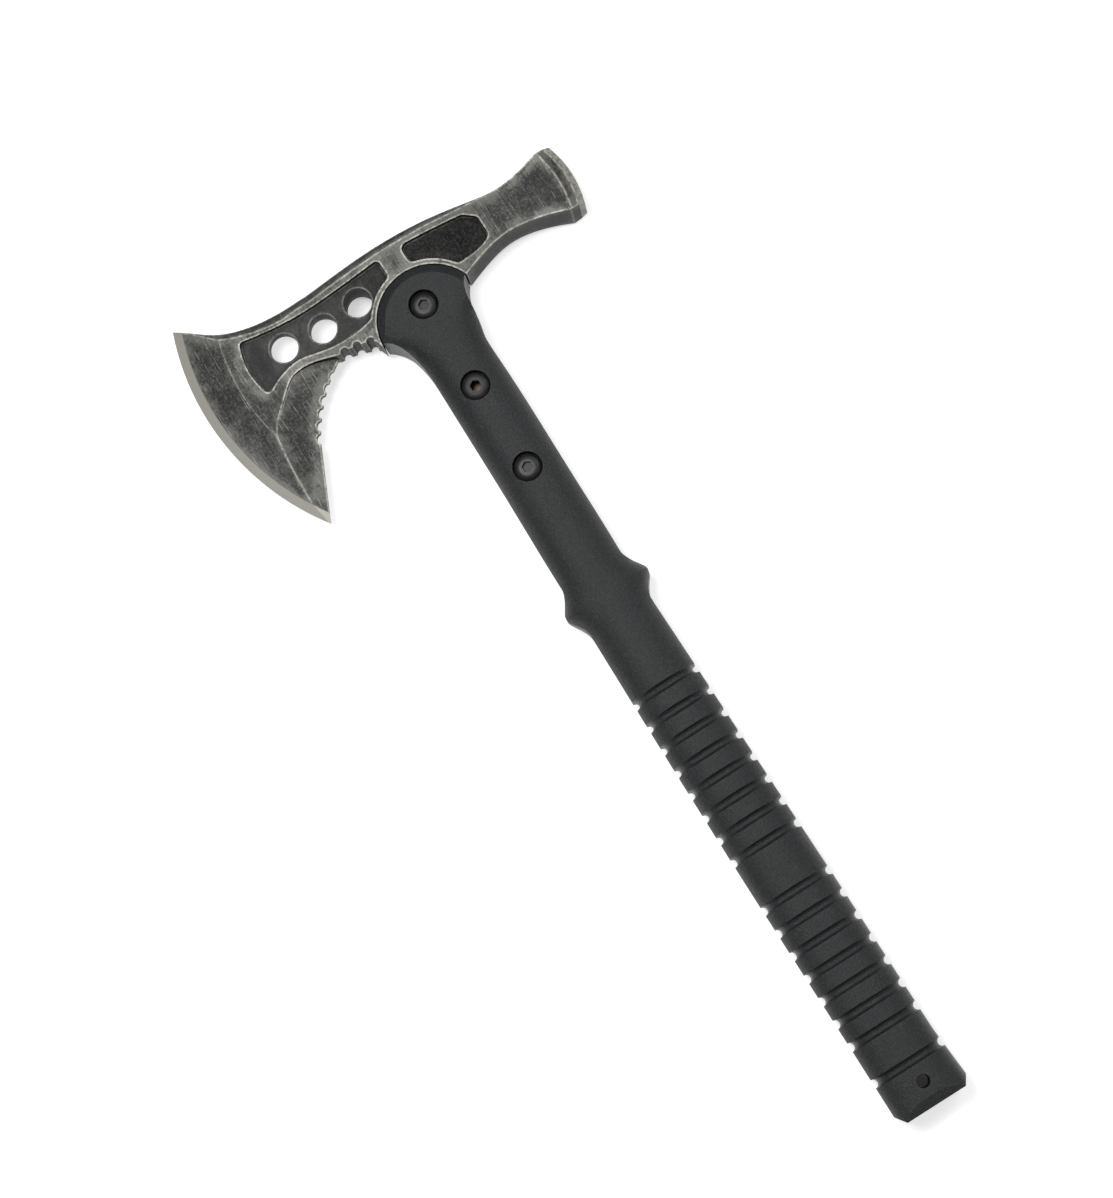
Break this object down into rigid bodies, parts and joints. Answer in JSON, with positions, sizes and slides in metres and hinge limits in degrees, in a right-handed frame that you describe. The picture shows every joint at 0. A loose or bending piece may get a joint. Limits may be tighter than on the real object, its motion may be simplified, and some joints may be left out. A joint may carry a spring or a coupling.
{
  "type": "hatchet",
  "caption": "Tactical-style hatchet with hammer poll: pierced cast steel head, tang bolted into a ribbed moulded handle.",
  "frame": {"origin": "on the lanyard hole's axis, half way through the handle's thickness", "axes": "+X along the handle from the butt to the head, +Y towards the cutting edge, +Z through the thickness; the hatchet lies flat on one face"},
  "size_m": [0.3792, 0.1589, 0.0246],
  "materials": {
    "head_steel": "dark tumbled steel with light worn edges and a bright ground cutting edge",
    "handle_nylon": "charcoal moulded nylon with a fine grain",
    "screw_black": "black oxide, glossy",
    "sleeve_nut_black": "black oxide, satin"
  },
  "bodies": {
    "root": {"axe_head": "head_steel", "handle": "handle_nylon", "screw_upper": "screw_black", "screw_middle": "screw_black", "screw_lower": "screw_black", "sleeve_nut_upper": "sleeve_nut_black", "sleeve_nut_middle": "sleeve_nut_black", "sleeve_nut_lower": "sleeve_nut_black"}
  },
  "joints": []
}
